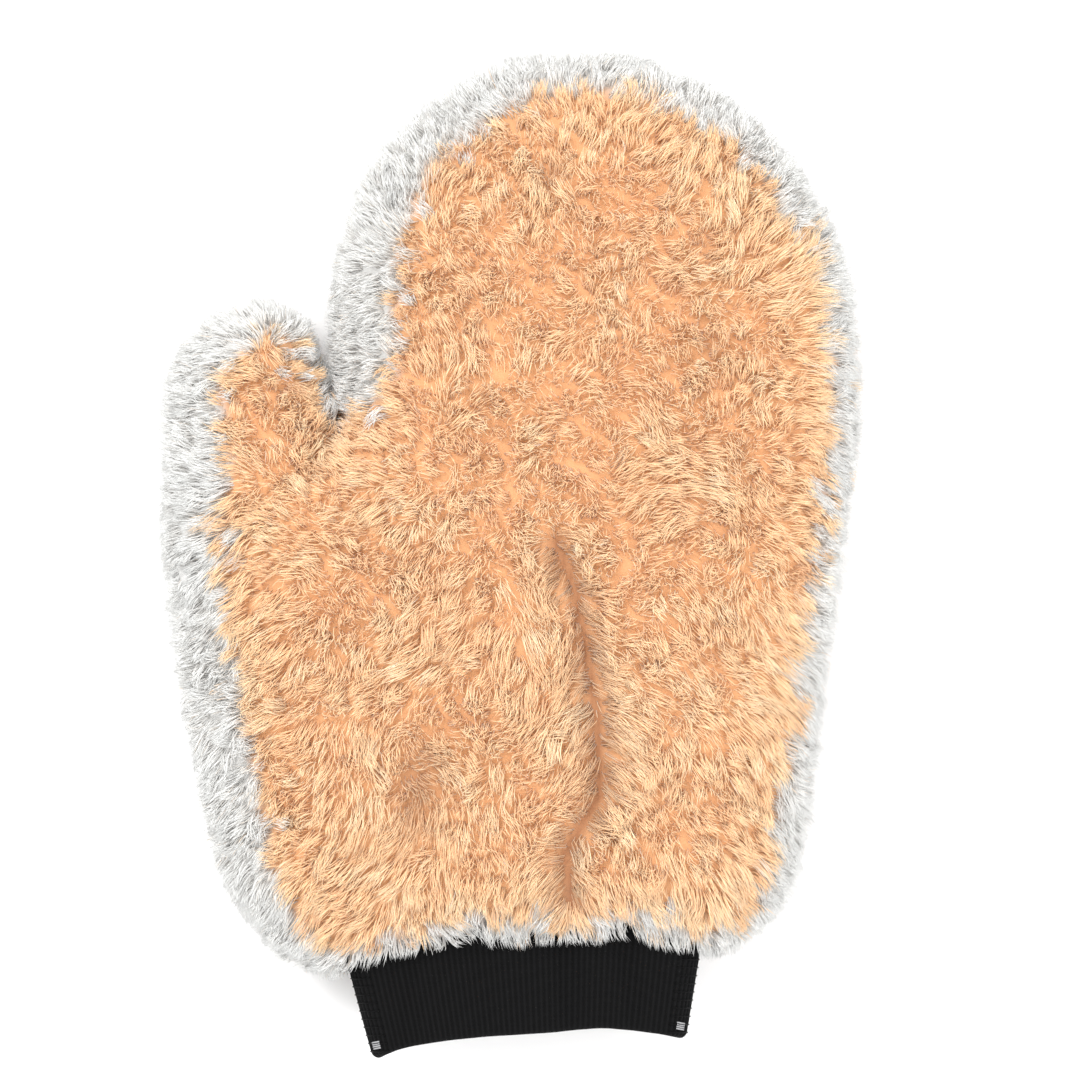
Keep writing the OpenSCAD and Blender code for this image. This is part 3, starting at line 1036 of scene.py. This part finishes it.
def cuff_points(s, y, depth, sign, rib_strength):
    """Points of the front (sign 1) or back (sign -1) of the cuff, depth under its outer surface."""
    mid, width, thick = cuff_section(y)
    x, z, nx, nz = stadium(width, thick, s)
    drop = np.clip((CUFF_TOP_Y - y) / (CUFF_TOP_Y - CUFF_LOW_Y), 0, 1)
    fold = np.zeros(len(s))
    if sign > 0:
        for x_top, x_low, spread, deep in CUFF_FOLDS:
            at = (x_top + (x_low - x_top) * drop) * MM
            fold += deep * MM * np.exp(-((mid + x - at) / (spread * MM)) ** 2) * smoothstep(drop * 2.2)
    move = depth + RIB_DEPTH * (1 - rib_wave(s)) * rib_strength
    return np.column_stack([mid + x - nx * move, y, MID_Z + sign * (z - nz * move - fold * nz)])


def make_cuff(side):
    """One ply of the cuff: rib knit folded double over its lower edge, closed all round."""
    sign = 1 if side == "front" else -1
    r = CUFF_WALL / 2
    s = np.linspace(0, 1, CUFF_COLUMNS)
    x_top, _, _, _ = stadium(CUFF_TOP_W, CUFF_TOP_T, s)
    low = cuff_low_edge(x_top / CUFF_TOP_W * CUFF_LOW_W + CUFF_LOW_MID) + r
    wave = rib_wave(s)
    rows, stitches = [], []

    def add_row(y, depth, strength):
        rows.append(cuff_points(s, y, depth, sign, strength))
        stitches.append(0.5 + 0.5 * np.sin(2 * math.pi * y / STITCH_PITCH + math.pi * (wave > 0.5)))

    for v in np.linspace(1, 0, CUFF_ROWS):
        add_row(low + v * (CUFF_TOP_Y - low), 0.0, 1.0)
    for a in np.linspace(0, math.pi, 9)[1:-1]:
        add_row(low - r * math.sin(a), r - r * math.cos(a), math.cos(a))
    for v in np.linspace(0, 1, CUFF_ROWS // 2):
        add_row(low + v * (CUFF_TOP_Y - low), CUFF_WALL, -1.0)

    m, n = len(rows), len(s)
    faces = []
    for i in range(m):
        k = (i + 1) % m
        for j in range(n - 1):
            faces.append((i * n + j, i * n + j + 1, k * n + j + 1, k * n + j))
    faces.append([i * n for i in range(m)])
    faces.append([i * n + n - 1 for i in range(m)])
    obj = closed_piece(f"cuff_{side}_knit", np.vstack(rows), faces)
    point_attribute(obj.data, "rib", np.tile(wave, m))
    point_attribute(obj.data, "stitch", np.concatenate(stitches))
    finish_with(obj, CUFF_MATERIAL)
    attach(obj, "palm")
    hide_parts(f"cuff_{side}")


def closed_piece(name, points, faces):
    """A smooth closed mesh whose faces all look outward and whose large faces are split."""
    mesh = bpy.data.meshes.new(name)
    mesh.from_pydata([tuple(p) for p in points], [], faces)
    bm = bmesh.new()
    bm.from_mesh(mesh)
    bmesh.ops.triangulate(bm, faces=[f for f in bm.faces if len(f.verts) > 4])
    bmesh.ops.recalc_face_normals(bm, faces=bm.faces)
    bm.to_mesh(mesh)
    bm.free()
    return smooth_shade(new_object(name, mesh))


def make_elastic():
    """The elastic band between the cuff's two layers, a closed ring of narrow cords."""
    low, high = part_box("cuff_elastic")
    s = np.linspace(0, 1, 300)
    steps = ELASTIC_CORDS * 6
    rows = []
    for depth, order in ((ELASTIC_DEPTH[0], 1), (ELASTIC_DEPTH[1], -1)):
        for v in np.linspace(0, 1, steps + 1)[::order]:
            bulge = 0.06 * MM * abs(math.sin(math.pi * v * ELASTIC_CORDS)) * order
            y = np.full(len(s), low.y + v * (high.y - low.y))
            top = cuff_points(s, y, depth - bulge, 1, 0.0)
            bottom = cuff_points(s[::-1], y, depth - bulge, -1, 0.0)[1:-1]
            rows.append(np.vstack([top, bottom]))
    m, n = len(rows), len(rows[0])
    faces = [(i * n + j, i * n + (j + 1) % n, (i + 1) % m * n + (j + 1) % n, (i + 1) % m * n + j)
             for i in range(m) for j in range(n)]
    obj = closed_piece("cuff_elastic_band", np.vstack(rows), faces)
    finish_with(obj, ELASTIC_MATERIAL)
    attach(obj, "palm")
    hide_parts("cuff_elastic")


for side in ("front", "back"):
    make_cuff(side)
make_elastic()


# ------------------------------------------------------------------ the threads
OVERLOCK_PITCH = 2.6 * MM
OVERLOCK_R = 0.25 * MM
SIDE_PITCH = 2.2 * MM
SIDE_LOW = {-1: 2.2 * MM, 1: 7.4 * MM}      # first stitch above the cuff's lowest point, by side
SIDE_R = 0.2 * MM
SIDE_REACH = 1.25               # half the angle that a side stitch wraps, in radians
CLEAR = 0.12 * MM               # from the knit's surface to the middle of a stitch
TACK_R = 0.22 * MM
TACK_PITCH = 0.55 * MM
TACK_ROWS = 4
WRIST_PITCH = 3.5 * MM
WRIST_STITCH = 2.4 * MM
WRIST_R = 0.3 * MM
WRIST_Y = 16 * MM               # above the lower edge of the pile


def tube(paths, radius, sides=6):
    """Verts and faces of closed round tubes along open paths."""
    verts, faces = [], []
    for path in paths:
        path = np.asarray(path, float)
        tangents = unit(np.gradient(path, axis=0))
        base = len(verts)
        n = len(path)
        ref = np.array([0.31, 0.52, 0.79])
        for p, t in zip(path, tangents):
            a = np.cross(t, ref)
            a /= np.linalg.norm(a)
            b = np.cross(t, a)
            for j in range(sides):
                angle = 2 * math.pi * j / sides
                verts.append(p + radius * (math.cos(angle) * a + math.sin(angle) * b))
        for i in range(n - 1):
            for j in range(sides):
                k = (j + 1) % sides
                faces.append((base + i * sides + j, base + i * sides + k,
                              base + (i + 1) * sides + k, base + (i + 1) * sides + j))
        faces.append([base + j for j in reversed(range(sides))])
        faces.append([base + (n - 1) * sides + j for j in range(sides)])
    return verts, faces


def thread_piece(name, paths, radius, material, nodes, body=None):
    obj = closed_piece(name, *tube(paths, radius))
    finish_with(obj, material)
    if body is None:
        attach(obj, "palm")
    else:
        bend(obj, body)
    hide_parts(*nodes)


def even(path, step):
    """Evenly spaced points along a path."""
    lengths = np.concatenate([[0], np.cumsum(np.linalg.norm(np.diff(path, axis=0), axis=1))])
    at = np.arange(0, lengths[-1], step)
    return np.column_stack([np.interp(at, lengths, path[:, k]) for k in range(3)])


def overlock(path, pitch, reach):
    """A thread that winds round the seam line."""
    step = pitch / 8
    line = even(path, step)
    tangents = unit(np.gradient(line, axis=0))
    outward = unit(np.cross(tangents, np.tile([0.0, 0.0, 1.0], (len(line), 1))))
    angle = np.arange(len(line)) * step / pitch * 2 * math.pi
    winding = line + outward * (np.cos(angle) * reach)[:, None]
    winding[:, 2] += np.sin(angle) * reach
    return winding


def make_seams():
    """The overlock threads round the edges of the ground and the lining."""
    for what, seams, reach in (("seam", GROUND_SEAMS, 0.9 * MM), ("lining", LINING_SEAMS, 0.7 * MM)):
        for body, lines in seams.items():
            windings = [overlock(line, OVERLOCK_PITCH, reach) for line in lines if len(line) > 8]
            names = ["palm", "finger"] if body == "hand" else ["thumb"]
            thread_piece(f"{body}_{what}_stitches", windings, OVERLOCK_R, WHITE_THREAD,
                         [f"{n}_{what}_thread" for n in names], body)


make_seams()


def cuff_side_stitches(sign, side):
    """Stitches that close the two plies of the cuff, with a grey bar tack at the lower end."""
    loops = []
    tack = []
    low = CUFF_LOW_Y + SIDE_LOW[sign]
    angles = np.linspace(-SIDE_REACH, SIDE_REACH, 14)
    for y in np.arange(low, CUFF_TOP_Y - 4 * MM, SIDE_PITCH):
        mid, width, thick = cuff_section(y)
        r = thick / 2 + CLEAR
        x = mid + sign * (width / 2 - r + r * np.cos(angles) + CLEAR)
        ys = y + SIDE_PITCH / 4 * angles / SIDE_REACH
        loops.append(np.column_stack([x, ys, MID_Z + r * np.sin(angles)]))
    for k in range(TACK_ROWS):
        y = low + 1.0 * MM + k * TACK_PITCH
        mid, width, thick = cuff_section(y)
        xs, zs, _, _ = stadium(width, thick, np.linspace(0.045, 0.075, 6))
        ys = y + np.linspace(0, 0.5 * MM, 6)
        for face in (1, -1):
            tack.append(np.column_stack([mid - sign * xs, ys, MID_Z + face * (zs + 0.15 * MM)]))
    thread_piece(f"cuff_{side}_stitches", loops, SIDE_R, BLACK_THREAD,
                 [f"cuff_{side}_thread"])
    thread_piece(f"cuff_{side}_bar_tack", tack, TACK_R, GREY_THREAD, [])


cuff_side_stitches(-1, "left")
cuff_side_stitches(1, "right")


def wrist_stitches():
    """A running stitch round the wrist, where hem, lining and cuff are sewn together."""
    t = np.linspace(0, 1, 7)
    loops = []
    for face in (1, -1):
        for x in np.arange(-38 * MM, 43 * MM, WRIST_PITCH):
            y = PALM_BOX[0].y + WRIST_Y + hem_lift(x)
            _, _, thick = cuff_section(y)
            z = thick / 2 + 0.5 * MM * np.sin(math.pi * t)
            loops.append(np.column_stack([x + t * WRIST_STITCH, np.full(7, y), MID_Z + face * z]))
    thread_piece("wrist_stitches", loops, WRIST_R, WHITE_THREAD, ["wrist_thread"])


wrist_stitches()

discard(hand, thumb)

# ------------------------------------------------------- floor, lights, camera
CAMERA_X = 7.9 * MM
CAMERA_Y = 3.7 * MM
CAMERA_HIGH = 2.0
VIEW_W = 293.2 * MM             # width of what the camera sees at the seam plane
SENSOR = 36.0


def make_floor():
    bm = bmesh.new()
    bmesh.ops.create_grid(bm, x_segments=8, y_segments=8, size=3.0)
    mesh = bpy.data.meshes.new("floor")
    bm.to_mesh(mesh)
    bm.free()
    floor = new_object("floor", mesh)
    n = Nodes("pale_floor")
    n.fixed(Base_Color=(0.93, 0.93, 0.93, 1.0), Roughness=0.9)
    floor.data.materials.append(n.material)


def area_light(name, place, size, power):
    """A round lamp at place, aimed at the origin."""
    data = bpy.data.lights.new(name, "AREA")
    data.shape = "DISK"
    data.size = size
    data.energy = power
    light = bpy.data.objects.new(name, data)
    bpy.context.scene.collection.objects.link(light)
    light.location = place
    light.rotation_euler = (-Vector(place)).to_track_quat("-Z", "Y").to_euler()


def make_world(strength):
    world = bpy.data.worlds.new("studio")
    world.use_nodes = True
    background = world.node_tree.nodes["Background"]
    background.inputs[0].default_value = (1.0, 1.0, 1.0, 1.0)
    background.inputs[1].default_value = strength
    bpy.context.scene.world = world


def make_camera():
    data = bpy.data.cameras.new("camera")
    data.sensor_width = SENSOR
    data.lens = SENSOR * CAMERA_HIGH / VIEW_W
    data.clip_end = 20
    camera = bpy.data.objects.new("camera", data)
    camera.location = (CAMERA_X, CAMERA_Y, MID_Z + CAMERA_HIGH)
    bpy.context.scene.collection.objects.link(camera)
    bpy.context.scene.camera = camera


make_floor()
make_world(1.24)
area_light("key", (-0.6, 0.7, 1.6), size=1.0, power=23)
area_light("fill", (0.8, -0.5, 1.5), size=1.3, power=12)
make_camera()
bpy.context.scene.view_settings.view_transform = "Standard"
